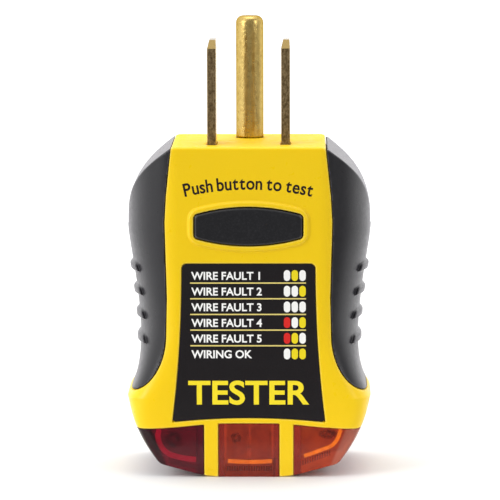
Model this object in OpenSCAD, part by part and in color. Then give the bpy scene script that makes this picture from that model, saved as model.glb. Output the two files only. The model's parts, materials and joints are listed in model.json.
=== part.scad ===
// Plug-in outlet tester: three prongs on top, three lamp windows at the foot and
// a push button on the front. All sizes are millimetres.
//
// Origin: centre of the mating face that rests against the outlet.
// +Z runs along the prongs, the front with the button and legend faces -Y.

/* [Housing] */
// Half width across the hips, the widest level
hip_half = 21.2; // [20.6:0.1:22]
// Half width of the waist between the finger ridges and the flare
waist_half = 19; // [18.5:0.1:19.4]
// Half width of the flare under the grips
flare_half = 21.2; // [20.6:0.1:21.8]
// Half width of the flat mating face
top_half = 13.1; // [12.6:0.1:13.6]
// Depth of the housing from front panel to back panel
body_depth = 27; // [26.6:0.1:28.5]
// Height of the housing from mating face to foot
body_height = 57; // [56.8:0.1:58]
// Half width of the flat front and back panels before the sides start to round
flat_half = 12; // [11.6:0.1:12.4]
// Chamfer along the top front and back edges
top_chamfer = 0.5; // [0.3:0.1:1]
// Chamfer along the foot's front and back edges
foot_chamfer = 1.3; // [0.8:0.1:1.6]

/* [Walls] */
// Thickness of the soft grips
grip_wall = 1.2; // [1.1:0.05:1.3]
// Thickness of the housing behind the grips
inner_wall = 1; // [0.9:0.05:1.05]
// Wall thickness of the lamp windows
lens_wall = 2; // [1.6:0.1:2.2]
// Gap left between neighbouring pieces
gap = 0.05; // [0.03:0.01:0.08]

/* [Prongs] */
// Distance between the centres of the two flat blades
blade_spacing = 12.7; // [12.6:0.05:12.8]
// Thickness of a flat blade
blade_thick = 1.52; // [1.45:0.01:1.6]
// Width of the line blade
line_width = 6.35; // [6.1:0.05:6.5]
// Width of the neutral blade, which is the wider one
neutral_width = 7.9; // [7.7:0.05:8.1]
// Length of the blades above the mating face
blade_length = 18; // [15.9:0.1:18.2]
// Radius of the round ground pin
pin_r = 2.41; // [2.37:0.01:2.45]
// Length of the ground pin above the mating face
pin_length = 21.4; // [19:0.1:21.5]
// Distance from the blades' centre line back to the ground pin's centre
pin_offset = 11.9; // [11.8:0.05:12]

/* [Button] */
// Length of the button, side to side
button_length = 18.5; // [17:0.1:19.2]
// Height of the button at its middle
button_height = 6.5; // [6.2:0.1:7]
// How far the arched long edges drop from the middle to the ends
button_sag = 1.33; // [1:0.01:1.5]
// How far the button travels when pressed
button_travel = 1.8; // [1:0.1:2]

/* [Grips] */
// Number of finger ridges on each side
ridge_count = 4; // [2:1:4]
// Distance from one ridge to the next
ridge_pitch = 4.1; // [3.8:0.1:4.3]
// Height of one ridge
ridge_height = 1.9; // [1.4:0.1:2.2]
// How far a ridge stands out of the grip
ridge_stand = 0.5; // [0.3:0.05:0.6]

/* [Hidden] */
$fn = 48;

// Levels of the housing's side profile, measured down from the mating face
hip_z = -14.3;
waist_z = -34;
flare_z = -43.5;
heel = [15.7, -54.65];
toe = [7.7, 0.2 - body_height];

// The sides are elliptical down to one level and grow squarer from there to the heel
round_z = -30;
squareness = 10;

// Points that pull the side profile's curves: shoulder, hip to waist, waist to flare, flare to heel
shoulder_pull = [[19.2, -4.4], [hip_half, -7.1]];
hip_pull = [[hip_half, -17.1], [waist_half, -26]];
waist_pull = [[waist_half, -38.9], [20.1, -42]];
flare_pull = [[20.4, -46], [20.2, -49.2]];

half_depth = body_depth / 2;
wall = grip_wall + gap + inner_wall;

// How far cutting shapes reach past what they cut
beyond = 4;

// Steps along each curve of the side profile and around each rounded side
profile_steps = 5;
side_steps = 12;

// Half width of the panel between the grips level by level, and the grips' sweep below them
panel_half = [
    [top_half + 0.1, 2], [top_half + 1, -8.5], [top_half + 1.25, -13], [top_half + 0.9, -26],
    [top_half + 1.05, -32.5]
];
grip_foot = 10.4;
grip_foot_out = hip_half + 0.4;
ridge_start = -21.4;

// Blades and ground pin
blade_x = blade_spacing / 2;
blade_y = -5.3;
pin_y = blade_y + pin_offset;
tail_z = -10.5;
carrier_top = -wall - gap;
carrier_bottom = -8.5;
carrier_half = 7.9;
collar_depth = 1.2;

// Button and switch
button_z = -13.6;
button_face = half_depth + 0.5;
button_bevel = 0.35;
button_clear = 0.15;
bezel_width = 1;
bezel_stand = 0.4;
flange_front = half_depth - wall - gap;
flange_thick = 1;
flange_rim = 1;
stem_r = 1.5;
stem_clear = 0.05;
guide_front = 5.4;
guide_thick = 1.4;
guide_half = [9.4, 1.9];
bridge_y = -2.6;
bridge_thick = 0.4;
bridge_half = [6, 1.3];
contact_x = 4.5;
contact_r = 1.2;
contact_top = bridge_y + bridge_thick + button_travel + gap;
spring_wire = 0.2;
spring_turns = 4;

// Circuit board
board_front = 0.8;
board_thick = 1.6;
board_back = board_front + board_thick;
board_half = 13.2;
board_top = -10.8;
board_bottom = -45;

// Resistors: centres, then radius and length of the body
ballast_x = 7;
ballast_z = -29;
ballast_size = [1.15, 6.4];
test_z = -27;
test_size = [2.1, 10];
resistor_stand = 0.5;
ballast_reach = ballast_size.y / 2 + 1.4;
test_reach = test_size.y / 2 + 1.6;
test_lead_r = 0.4;
solder_depth = 1.2;

// Wires from the prongs' tails to the board, and where the blade wires meet it
wire_r = 0.5;
wire_end = [11.6, -14.4];

// Screws: two beside the blade carrier, two through the circuit board
screw_x = 11;
upper_screw_z = -6.2;
lower_screw_z = -40;
screw_r = 1.3;
boss_r = 2.6;
rear_boss_r = 3;
boss_overlap = 0.3;
pilot_grip = 0.15;
pilot_floor = 1.6;
screw_clear = 0.2;
head_r = 2.25;
head_seat = 9.5;
head_height = 1.8;

// Lamp windows
lens_top = -47.7;
lens_drop = 1.1;
lens_drop_at = 11;
rib_inner = 5.3;
rib_outer = 7.65;
lens_side_wall = 1.2;
tongue_wall = 0.8;
tongue_height = 1.5;

// Lamps
lamp_r = 2;
lamp_length = 6.8;
lamp_wall = 0.35;
lamp_x = 11.8;
lamp_y = board_front - 0.4;
centre_lamp_top = -46.9;
side_lamp_top = -45.6;
lead_r = 0.3;
lead_spread = 0.7;
lead_top = -43;

// Legend plate: narrow at the top and flared at the foot
label_top = -20.05;
label_bottom = -46.7;
label_half_top = 11.4;
label_half_bottom = 13;
label_flare_z = -31;
label_thick = 0.3;
label_corner = 0.8;
label_sag = 0.7;

// ---------------------------------------------------------------- outlines

// Cubic curve through control points a, b, c, d, without its last point
function curve(a, b, c, d, n) = [
    for (i = [0:n - 1])
        let (t = i / n, s = 1 - t)
            s * s * s * a + 3 * s * s * t * b + 3 * s * t * t * c + t * t * t * d
];

// Shoulder of the front view, from the mating face's corner round to the hip
shoulder = concat(
    curve([top_half, 0], shoulder_pull[0], shoulder_pull[1], [hip_half, hip_z], 2 * profile_steps),
    [[hip_half, hip_z]]
);

// Side reach of the housing below the hip: in to the waist, out to the flare, in to the heel
reach = concat(
    curve([hip_half, hip_z], hip_pull[0], hip_pull[1], [waist_half, waist_z], profile_steps),
    curve([waist_half, waist_z], waist_pull[0], waist_pull[1], [flare_half, flare_z], profile_steps),
    curve([flare_half, flare_z], flare_pull[0], flare_pull[1], heel, profile_steps),
    [heel]
);

// Moves an open curve that runs down the right side inwards by t
function inset(points, t) = [
    for (i = [0:len(points) - 1])
        let (
            before = points[max(i - 1, 0)],
            after = points[min(i + 1, len(points) - 1)],
            along = (after - before) / norm(after - before)
        )
            points[i] + t * [along.y, -along.x]
];

// Closes a right-hand outline with its mirror image
function both_sides(points) = concat(
    points, [for (i = [len(points) - 1:-1:0]) [-points[i].x, points[i].y]]
);

// Cuts the shoulders and the foot of the housing; t insets every edge
function cutting_outline(t) =
    let (
        slope = (heel.y - toe.y) / (heel.x - toe.x),
        outer = hip_half + beyond
    )
        both_sides(concat(
            [for (p = inset(shoulder, t)) [p.x, min(p.y, -t)]],
            [[outer, hip_z], [outer, heel.y + slope * (outer - heel.x) + t]],
            [toe + [0, t], [0, t - body_height]]
        ));

// Power that turns a circle's sine and cosine into the section at level z: 1 gives an ellipse
function section_power(z) =
    let (t = min(max((z - round_z) / (heel.y - round_z), 0), 1))
        2 / (2 + squareness * t * t);

// One level of the housing: flat front and back, half-elliptical to squarish sides
function level(z, w, d) = [
    for (side = [1, -1], i = [0:side_steps])
        let (
            a = 90 - 180 * i / side_steps,
            out = pow(max(cos(a), 0), section_power(z)),
            back = sign(a) * pow(abs(sin(a)), section_power(z))
        )
            [side * (flat_half + (w - flat_half) * out), side * d * back, z]
];

// Levels of the housing from above the mating face to below the foot
function levels(t) =
    let (d = half_depth - t, foot = -body_height)
        concat(
            [level(1, hip_half - t, d - top_chamfer - 1)],
            [level(-top_chamfer, hip_half - t, d)],
            [for (p = reach) level(p.y, p.x - t, d)],
            [level(foot + foot_chamfer, heel.x - t - 0.4, d)],
            [level(foot - 1, heel.x - t - 0.8, d - foot_chamfer - 1)]
        );

// ---------------------------------------------------------------- shared shapes

// Skins a list of rings that all have the same number of points
module skin(rings) {
    m = len(rings[0]);
    last = len(rings) - 1;
    polyhedron(
        points = [for (ring = rings, p = ring) p],
        faces = concat(
            [[for (j = [0:m - 1]) j]],
            [[for (j = [m - 1:-1:0]) last * m + j]],
            [
                for (i = [0:last - 1], j = [0:m - 1], half = [0, 1])
                    let (k = (j + 1) % m, a = i * m, b = (i + 1) * m)
                        half == 0 ? [a + k, a + j, b + j] : [a + k, b + j, b + k]
            ]
        )
    );
}

// A round rod that follows a path; up must never be parallel to it
module rod(path, r, up = [1, 0, 0], sides = 8) {
    last = len(path) - 1;
    skin([
        for (i = [0:last])
            let (
                along = path[min(i + 1, last)] - path[max(i - 1, 0)],
                t = along / norm(along),
                side = cross(t, up) / norm(cross(t, up)),
                other = cross(t, side)
            )
                [
                    for (j = [0:sides - 1])
                        let (a = 360 * j / sides)
                            path[i] + r * (cos(a) * side + sin(a) * other)
                ]
    ]);
}

// Extrudes a front-view drawing through the whole depth
module through() {
    rotate([90, 0, 0])
        linear_extrude(height = body_depth + beyond, center = true)
            children();
}

// Extrudes a front-view drawing from depth y0 to depth y1
module between(y0, y1) {
    translate([0, y1, 0])
        rotate([90, 0, 0])
            linear_extrude(height = y1 - y0)
                children();
}

// A round bar along Y from y0 to y1
module bar(x, z, r, y0, y1) {
    translate([x, y1, z])
        rotate([90, 0, 0])
            cylinder(r = r, h = y1 - y0);
}

// The outer form of the housing, inset by t
module envelope(t = 0) {
    intersection() {
        skin(levels(t));
        through()
            polygon(cutting_outline(t));
    }
}

// Only the foot of that form, for the lamp windows
module foot_envelope(t = 0) {
    low = [for (p = reach) if (p.y < flare_z) level(p.y, p.x - t, half_depth - t)];
    ends = levels(t);
    intersection() {
        skin(concat(low, [ends[len(ends) - 2], ends[len(ends) - 1]]));
        through()
            polygon(cutting_outline(t));
    }
}

// Front view of one grip on the +X side, g clear of its recess on every side
module grip_outline(g = 0) {
    outer = hip_half + beyond;
    last = len(panel_half) - 1;
    start = panel_half[last];
    polygon(concat(
        [[outer, panel_half[0].y]],
        [for (i = [0:last - 1]) panel_half[i] + [g, 0]],
        [
            for (a = [0:15:90])
                [
                    start.x + g + (grip_foot_out - start.x) * (1 - cos(a)),
                    start.y + g - grip_foot * sin(a)
                ]
        ],
        [[outer, start.y + g - grip_foot]]
    ));
}

// Front view of a lamp window between x0 and x1, raised by lift at its top edge
module lens_outline(x0, x1, lift = 0) {
    steps = 8;
    polygon(concat(
        [
            for (i = [0:steps])
                let (x = x0 + (x1 - x0) * i / steps, share = pow(x / lens_drop_at, 4))
                    [x, lens_top + lift - lens_drop * share / (1 + share)]
        ],
        [[x1, -body_height - 2], [x0, -body_height - 2]]
    ));
}

// Barrel outline of the button, grown by g: two long arcs cut square at the ends
module button_outline(g = 0) {
    r = (pow(button_length / 2, 2) + pow(button_sag, 2)) / (2 * button_sag);
    translate([0, button_z])
        intersection() {
            square([button_length + 2 * g, button_height + 2 * g], center = true);
            translate([0, r - button_height / 2])
                circle(r = r + g, $fn = 200);
            translate([0, button_height / 2 - r])
                circle(r = r + g, $fn = 200);
        }
}

// ---------------------------------------------------------------- housing

// Housing wall common to both shells, with recesses for the grips and openings for the lenses
module housing_wall() {
    difference() {
        union() {
            difference() {
                envelope();
                for (side = [0, 1])
                    mirror([side, 0, 0])
                        through()
                            grip_outline();
            }
            envelope(grip_wall + gap);
        }
        envelope(wall);
        through()
            lens_outline(gap - rib_inner, rib_inner - gap);
        for (side = [0, 1])
            mirror([side, 0, 0])
                through()
                    lens_outline(rib_outer, hip_half + beyond);
    }
}

// Half space on one side of the parting plane
module half(side) {
    size = 2 * body_height;
    y = side < 0 ? -size : gap;
    translate([-size / 2, y, -size])
        cube([size, size, 2 * size]);
}

// Two ledges inside a shell that the blade carrier rests on
module carrier_ledges(side) {
    size = [2.4, 2, 0.7];
    spread = 6.8;
    depth = half_depth - wall - size.y / 2 + boss_overlap;
    for (x = [-spread, spread])
        translate([x, side * depth, carrier_bottom - gap - size.z / 2])
            cube(size, center = true);
}

// Openings in the mating face for the two blades and the ground pin
module prong_openings() {
    clear = 0.1;
    for (blade = [[-blade_x, neutral_width], [blade_x, line_width]])
        translate([blade[0], blade_y, 0])
            cube([blade_thick + 2 * clear, blade[1] + 2 * clear, 4 * wall], center = true);
    translate([0, pin_y, -2 * wall])
        cylinder(r = pin_r + clear, h = 4 * wall);
}

module front_shell() {
    color("gold")
    difference() {
        union() {
            intersection() {
                housing_wall();
                half(-1);
            }
            carrier_ledges(-1);
            for (x = [-screw_x, screw_x]) {
                bar(x, upper_screw_z, boss_r, wall - half_depth - boss_overlap, 0);
                bar(x, lower_screw_z, boss_r, wall - half_depth - boss_overlap, board_front - gap);
            }
            between(-half_depth - bezel_stand, boss_overlap - half_depth)
                button_outline(bezel_width);
        }
        between(-half_depth - beyond, wall + beyond / 2 - half_depth)
            button_outline(button_clear);
        between(-half_depth - beyond, label_thick + gap - half_depth)
            label_outline(gap);
        for (x = [-screw_x, screw_x], z = [upper_screw_z, lower_screw_z])
            bar(x, z, screw_r - pilot_grip, pilot_floor + wall - half_depth, board_front);
        prong_openings();
    }
}

module rear_shell() {
    color("gold")
    difference() {
        union() {
            intersection() {
                housing_wall();
                half(1);
            }
            carrier_ledges(1);
            for (x = [-screw_x, screw_x]) {
                bar(x, upper_screw_z, rear_boss_r, gap, half_depth - wall + boss_overlap);
                bar(x, lower_screw_z, rear_boss_r, board_back + gap, half_depth - wall + boss_overlap);
            }
        }
        for (x = [-screw_x, screw_x], z = [upper_screw_z, lower_screw_z]) {
            bar(x, z, screw_r + screw_clear, -1, half_depth);
            bar(x, z, head_r + screw_clear, head_seat, half_depth + 1);
        }
        prong_openings();
    }
}

// Soft grip on the +X side: wraps front, side and back, with raised finger ridges
module grip() {
    intersection() {
        union() {
            difference() {
                envelope();
                envelope(grip_wall);
            }
            for (i = [0:ridge_count - 1])
                ridge(ridge_start - i * ridge_pitch);
        }
        through()
            grip_outline(gap);
    }
}

// Plan of the housing at half width w, grown by g
module plan(w, g) {
    polygon([for (p = level(0, w + g, half_depth + g)) [p.x, p.y]]);
}

// Finger ridge centred on level z, on the +X side only
module ridge(z) {
    span = 1 - (z - hip_z) / (waist_z - hip_z);
    w = waist_half + (hip_half - waist_half) * pow(max(span, 0), 2);
    ridge_wrap = 1.3;
    translate([0, 0, z - ridge_height / 2])
        linear_extrude(height = ridge_height)
            intersection() {
                difference() {
                    plan(w, ridge_stand);
                    plan(w, -grip_wall / 2);
                }
                translate([w - ridge_wrap, -half_depth])
                    square([beyond, body_depth]);
            }
}

module left_grip() {
    color([0.2, 0.19, 0.21])
        mirror([1, 0, 0])
            grip();
}

module right_grip() {
    color([0.2, 0.19, 0.21])
        grip();
}

// Outline of the legend plate, grown by g
module label_outline(g = 0) {
    r = (pow(label_half_bottom, 2) + pow(label_sag, 2)) / (2 * label_sag);
    foot = label_bottom - label_sag - g;
    difference() {
        polygon(both_sides([
            [0, label_top + g],
            [label_half_top - label_corner + g, label_top + g],
            [label_half_top + g, label_top - label_corner + g],
            [label_half_top + g, label_flare_z],
            [label_half_bottom + g, foot],
            [0, foot]
        ]));
        translate([0, label_bottom - g - r])
            circle(r = r, $fn = 300);
    }
}

module legend_label() {
    color([0.13, 0.12, 0.13])
        between(-half_depth, label_thick - half_depth)
            label_outline();
}

// Self-tapping screw driven from the back, its head at +Y
module case_screw(x, z) {
    slot = [3, 0.7];
    tip_space = 0.6;
    difference() {
        union() {
            bar(x, z, screw_r, pilot_floor + tip_space + wall - half_depth, head_seat + 0.2);
            bar(x, z, head_r, head_seat, head_seat + head_height);
        }
        for (turn = [0, 90])
            translate([x, head_seat + head_height, z])
                rotate([0, turn, 0])
                    cube([slot.x, 2, slot.y], center = true);
    }
}

module case_screws() {
    color("silver")
        for (x = [-screw_x, screw_x], z = [upper_screw_z, lower_screw_z])
            case_screw(x, z);
}

// ---------------------------------------------------------------- prongs

// Flat blade drawn on its own centre line; ears inside the carrier keep it from pulling out
module blade(width) {
    tip = [0.55, 1.5];
    ear = [0.8, 2.4];
    half_width = width / 2;
    ear_top = carrier_top - collar_depth;
    loose = 0.01;
    intersection() {
        rotate([90, 0, 90])
            linear_extrude(height = blade_thick, center = true)
                polygon(both_sides([
                    [half_width - tip.y, blade_length],
                    [half_width, blade_length - tip.y],
                    [half_width, ear_top],
                    [half_width + ear.x, ear_top],
                    [half_width + ear.x, ear_top - ear.y],
                    [half_width - 1, ear_top - ear.y],
                    [half_width - 1, tail_z]
                ]));
        rotate([90, 0, 0])
            linear_extrude(height = 2 * width, center = true)
                polygon(both_sides([
                    [blade_thick / 2 - tip.x, blade_length + 1],
                    [blade_thick / 2 - tip.x, blade_length],
                    [blade_thick / 2 + loose, blade_length - tip.y],
                    [blade_thick / 2 + loose, tail_z - 1]
                ]));
    }
}

module line_blade() {
    color([0.6, 0.47, 0.25])
        translate([blade_x, blade_y, 0])
            blade(line_width);
}

module neutral_blade() {
    color([0.6, 0.47, 0.25])
        translate([-blade_x, blade_y, 0])
            blade(neutral_width);
}

// Half section of the ground pin: rounded tip, full exposed shank, thinner neck, collar, tail
module pin_section() {
    tip_r = 1.25;
    neck_r = pin_r - 0.2;
    collar_r = pin_r + 0.8;
    tail_r = 1.4;
    collar_top = carrier_top - collar_depth;
    collar_foot = collar_top - 1.5;
    neck_foot = carrier_bottom + 0.5;
    difference() {
        polygon([
            [0, pin_length], [pin_r, pin_length], [pin_r, 0], [neck_r, 0], [neck_r, collar_top],
            [collar_r, collar_top], [collar_r, collar_foot], [neck_r, collar_foot],
            [neck_r, neck_foot], [tail_r, neck_foot], [tail_r, tail_z], [0, tail_z]
        ]);
        translate([pin_r - tip_r, pin_length - tip_r])
            difference() {
                square(2 * tip_r);
                circle(r = tip_r);
            }
    }
}

module ground_pin() {
    color([0.78, 0.62, 0.28])
        translate([0, pin_y, 0])
            rotate_extrude($fn = 96)
                pin_section();
}

// Insulating block moulded round the prongs' inner ends
module blade_carrier() {
    depth = 2 * (half_depth - wall - gap);
    color([0.88, 0.86, 0.8])
    difference() {
        translate([-carrier_half, -depth / 2, carrier_bottom])
            cube([2 * carrier_half, depth, carrier_top - carrier_bottom]);
        line_blade();
        neutral_blade();
        ground_pin();
    }
}

// ---------------------------------------------------------------- lamp windows

// Cup-shaped window between x0 and x1, with a tongue that tucks up inside the shells
module lens(x0, x1, wall_left, wall_right) {
    difference() {
        union() {
            intersection() {
                foot_envelope();
                through()
                    lens_outline(x0, x1, -gap);
            }
            intersection() {
                foot_envelope(wall + gap);
                through()
                    lens_outline(x0, x1, tongue_height);
            }
        }
        intersection() {
            foot_envelope(lens_wall);
            through()
                lens_outline(x0 + wall_left, x1 - wall_right, -1);
        }
        intersection() {
            foot_envelope(wall + gap + tongue_wall);
            through()
                lens_outline(x0 + wall_left, x1 - wall_right, 3 * tongue_height);
        }
    }
}

module red_lens() {
    outer = hip_half + beyond;
    color([0.65, 0.05, 0.1, 0.8])
        lens(-outer, -rib_outer - gap, 0, lens_side_wall);
}

module centre_amber_lens() {
    color([0.95, 0.35, 0.1, 0.8])
        lens(2 * gap - rib_inner, rib_inner - 2 * gap, lens_side_wall, lens_side_wall);
}

module right_amber_lens() {
    outer = hip_half + beyond;
    color([0.95, 0.35, 0.1, 0.8])
        lens(rib_outer + gap, outer, lens_side_wall, 0);
}

// ---------------------------------------------------------------- lamps

// Neon lamp: thin glass bulb, closed by a solid seal that its leads pass through
module lamp_glass(x, top) {
    seal = 1;
    r = lamp_r - lamp_wall;
    color([0.95, 0.8, 0.7, 0.4])
    translate([x, lamp_y, top - lamp_length])
        difference() {
            rotate_extrude()
                difference() {
                    union() {
                        translate([0, lamp_r])
                            square([lamp_r, lamp_length - lamp_r]);
                        intersection() {
                            translate([0, lamp_r])
                                circle(r = lamp_r);
                            square([lamp_r, lamp_r]);
                        }
                    }
                    translate([0, lamp_r])
                        square([r, lamp_length - lamp_r - seal]);
                    intersection() {
                        translate([0, lamp_r])
                            circle(r = r);
                        square([r, lamp_r]);
                    }
                }
            for (side = [-1, 1])
                translate([side * lead_spread, 0, lamp_length / 2])
                    cylinder(r = lead_r, h = lamp_length);
        }
}

module left_lamp_glass() lamp_glass(-lamp_x, side_lamp_top);

module centre_lamp_glass() lamp_glass(0, centre_lamp_top);

module right_lamp_glass() lamp_glass(lamp_x, side_lamp_top);

// Two electrodes inside a lamp and the leads that carry them up the circuit board
module lamp_leads(x, top) {
    electrode = [0.45, 3.4];
    electrode_top = top - 1.1;
    lap = 0.4;
    color("silver")
    for (side = [-1, 1])
        translate([x + side * lead_spread, lamp_y, 0]) {
            translate([0, 0, electrode_top - lap])
                cylinder(r = lead_r, h = lead_top - electrode_top + lap);
            translate([0, 0, electrode_top - electrode.y])
                cylinder(r = electrode.x, h = electrode.y);
        }
}

module left_lamp_leads() lamp_leads(-lamp_x, side_lamp_top);

module centre_lamp_leads() lamp_leads(0, centre_lamp_top);

module right_lamp_leads() lamp_leads(lamp_x, side_lamp_top);

// ---------------------------------------------------------------- circuit

module circuit_board() {
    hole_clear = 0.15;
    color([0.1, 0.35, 0.2])
    difference() {
        between(board_front, board_back)
            translate([-board_half, board_bottom])
                square([2 * board_half, board_top - board_bottom]);
        for (x = [-screw_x, screw_x])
            bar(x, lower_screw_z, screw_r + 2 * hole_clear, 0, beyond);
        for (x = [-ballast_x, 0, ballast_x], end = [-1, 1])
            bar(x, ballast_z + end * ballast_reach, lead_r + hole_clear, 0, beyond);
        for (end = [-1, 1])
            bar(end * test_reach, test_z, test_lead_r + hole_clear, 0, beyond);
    }
}

// Axial resistor lying along Z: waisted body of a given radius and length, with leads that run
// out to reach on either side and bend down into the board
module resistor(size, lead, reach) {
    r = size.x;
    half = size.y / 2;
    bend = 0.7;
    inner = half - 0.2;
    steps = 4;
    rotate_extrude()
        polygon([
            [0, -half], [0.8 * r, -half], [r, 0.3 * r - half], [r, 1.4 * r - half],
            [0.86 * r, 1.8 * r - half], [0.86 * r, half - 1.8 * r],
            [r, half - 1.4 * r], [r, half - 0.3 * r], [0.8 * r, half], [0, half]
        ]);
    for (end = [0, 1])
        mirror([0, 0, end])
            rod(concat(
                [[0, 0, inner]],
                [
                    for (i = [0:steps])
                        let (a = 90 * i / steps)
                            [0, bend * (1 - cos(a)), reach - bend + bend * sin(a)]
                ],
                [[0, resistor_stand + r + solder_depth, reach]]
            ), lead);
}

module ballast_resistor(x) {
    color([0.75, 0.65, 0.5])
        translate([x, board_front - resistor_stand - ballast_size.x, ballast_z])
            resistor(ballast_size, lead_r, ballast_reach);
}

module left_ballast_resistor() ballast_resistor(-ballast_x);

module centre_ballast_resistor() ballast_resistor(0);

module right_ballast_resistor() ballast_resistor(ballast_x);

// Larger resistor behind the board that draws the trip current when the button is pressed
module test_resistor() {
    color([0.45, 0.55, 0.6])
        translate([0, board_back + resistor_stand + test_size.x, test_z])
            mirror([0, 1, 0])
                rotate([0, 90, 0])
                    resistor(test_size, test_lead_r, test_reach);
}

// Wire from a blade's tail, out round the switch guide and back to the board
module blade_wire(side) {
    start_z = tail_z - gap - wire_r;
    rod([
        [side * blade_x, blade_y, start_z],
        [side * (blade_x + 1.6), blade_y + 0.2, start_z],
        [side * (wire_end.x - 1.5), blade_y + 1.2, start_z],
        [side * (wire_end.x - 0.6), blade_y + 2.3, start_z - 0.9],
        [side * (wire_end.x - 0.1), blade_y + 3.5, wire_end.y + 1],
        [side * wire_end.x, blade_y + 4.7, wire_end.y],
        [side * wire_end.x, board_front - gap, wire_end.y]
    ], wire_r, up = [0, 0, 1]);
}

module line_wire() {
    color([0.1, 0.1, 0.1])
        blade_wire(1);
}

module neutral_wire() {
    color([0.9, 0.9, 0.9])
        blade_wire(-1);
}

module ground_wire() {
    color([0.1, 0.5, 0.2])
        rod([
            [0, pin_y, tail_z - gap],
            [0, pin_y, tail_z - 1.2],
            [0.9, pin_y - 0.6, tail_z - 2.8],
            [2.2, pin_y - 1.6, tail_z - 4],
            [3, board_back + 1.6, tail_z - 4.9],
            [3.2, board_back + 0.8, tail_z - 5.1],
            [3.2, board_back + gap, tail_z - 5.1]
        ], wire_r, up = [1, 0, 0]);
}

// ---------------------------------------------------------------- test switch

// Bracket on the board that guides the button's stem
module switch_guide() {
    leg = 1.2;
    color([0.2, 0.2, 0.22])
    difference() {
        translate([-guide_half.x, -guide_front, button_z - guide_half.y])
            cube([2 * guide_half.x, guide_front + board_front - gap, 2 * guide_half.y]);
        translate([leg - guide_half.x, guide_thick - guide_front, button_z - guide_half.y - 1])
            cube([2 * (guide_half.x - leg), body_depth, 2 * guide_half.y + 2]);
        bar(0, button_z, stem_r + stem_clear, -guide_front - 1, 0);
    }
}

module fixed_contacts() {
    color([0.8, 0.65, 0.3])
        for (x = [-contact_x, contact_x])
            bar(x, button_z, contact_r, contact_top, board_front - gap, $fn = 96);
}

// Button: cap that shows in the front panel, flange behind the panel, stem to the contacts
module test_button() {
    inside = flange_thick / 2 - flange_front;
    color([0.15, 0.15, 0.16])
    union() {
        between(button_bevel - button_face, inside)
            button_outline();
        between(-button_face, inside)
            button_outline(-button_bevel);
        between(-flange_front, flange_thick - flange_front)
            button_outline(flange_rim);
        bar(0, button_z, stem_r, inside, bridge_y - gap);
    }
}

// Coil spring round the stem, between the flange and the guide
module return_spring() {
    coil_r = stem_r + 0.75;
    steps = 14;
    start = flange_thick - flange_front + spring_wire + gap;
    rise = -guide_front - spring_wire - gap - start;
    color("silver")
        rod([
            for (i = [0:spring_turns * steps])
                let (a = 360 * i / steps)
                    [
                        coil_r * cos(a),
                        start + rise * i / (spring_turns * steps),
                        button_z + coil_r * sin(a)
                    ]
        ], spring_wire, up = [0, 1, 0], sides = 6);
}

// Strip on the stem's end that joins the two fixed contacts when the button is pressed
module contact_bridge() {
    color([0.8, 0.65, 0.3])
        between(bridge_y, bridge_y + bridge_thick)
            translate([-bridge_half.x, button_z - bridge_half.y])
                square(2 * bridge_half);
}

front_shell();
rear_shell();
left_grip();
right_grip();
legend_label();
case_screws();
blade_carrier();
line_blade();
neutral_blade();
ground_pin();
red_lens();
centre_amber_lens();
right_amber_lens();
left_lamp_glass();
centre_lamp_glass();
right_lamp_glass();
left_lamp_leads();
centre_lamp_leads();
right_lamp_leads();
circuit_board();
left_ballast_resistor();
centre_ballast_resistor();
right_ballast_resistor();
test_resistor();
line_wire();
neutral_wire();
ground_wire();
switch_guide();
fixed_contacts();
test_button();
return_spring();
contact_bridge();
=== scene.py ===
"""Plug-in outlet tester: moulded shells, soft grips, prongs, lamp windows and the parts inside.

Moulded pieces are written as distance fields in millimetres (negative inside the plastic) and
turned into meshes. Turned, swept and stamped pieces are built from rings of points.
"""

import json
import math
from itertools import product

import bpy
import numpy as np
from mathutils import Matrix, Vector


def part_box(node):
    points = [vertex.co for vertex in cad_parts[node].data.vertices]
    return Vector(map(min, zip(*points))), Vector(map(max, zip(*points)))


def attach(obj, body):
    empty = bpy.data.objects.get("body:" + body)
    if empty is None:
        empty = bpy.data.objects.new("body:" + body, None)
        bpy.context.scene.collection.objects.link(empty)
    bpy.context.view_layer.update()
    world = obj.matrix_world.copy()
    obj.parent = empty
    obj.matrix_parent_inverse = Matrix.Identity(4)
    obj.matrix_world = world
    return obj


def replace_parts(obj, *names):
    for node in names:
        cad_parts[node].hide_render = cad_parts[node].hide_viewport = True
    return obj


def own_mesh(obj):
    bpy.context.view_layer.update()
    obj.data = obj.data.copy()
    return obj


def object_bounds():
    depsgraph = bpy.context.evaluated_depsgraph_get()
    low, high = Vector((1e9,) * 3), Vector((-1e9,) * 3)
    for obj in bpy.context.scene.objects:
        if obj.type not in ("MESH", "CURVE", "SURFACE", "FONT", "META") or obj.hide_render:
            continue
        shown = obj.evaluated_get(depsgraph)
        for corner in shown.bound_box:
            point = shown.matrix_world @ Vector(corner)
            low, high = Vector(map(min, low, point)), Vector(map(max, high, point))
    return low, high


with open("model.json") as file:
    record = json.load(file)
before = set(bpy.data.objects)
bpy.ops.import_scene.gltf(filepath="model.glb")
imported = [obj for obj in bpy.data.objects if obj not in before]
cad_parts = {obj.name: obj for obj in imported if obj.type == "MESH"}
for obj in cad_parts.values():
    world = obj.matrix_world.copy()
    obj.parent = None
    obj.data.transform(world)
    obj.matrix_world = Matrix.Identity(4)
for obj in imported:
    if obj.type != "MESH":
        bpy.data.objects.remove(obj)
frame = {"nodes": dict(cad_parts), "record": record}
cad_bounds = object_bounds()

MM = 0.001


# -------------------- sizes, in millimetres

def box_mm(node):
    """Lowest and highest corner of a CAD node, in millimetres."""
    return [[float(v) / MM for v in corner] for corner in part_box(node)]


def centre_mm(node):
    """Middle of a CAD node's box, in millimetres."""
    return [(a + b) / 2 for a, b in zip(*box_mm(node))]


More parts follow.
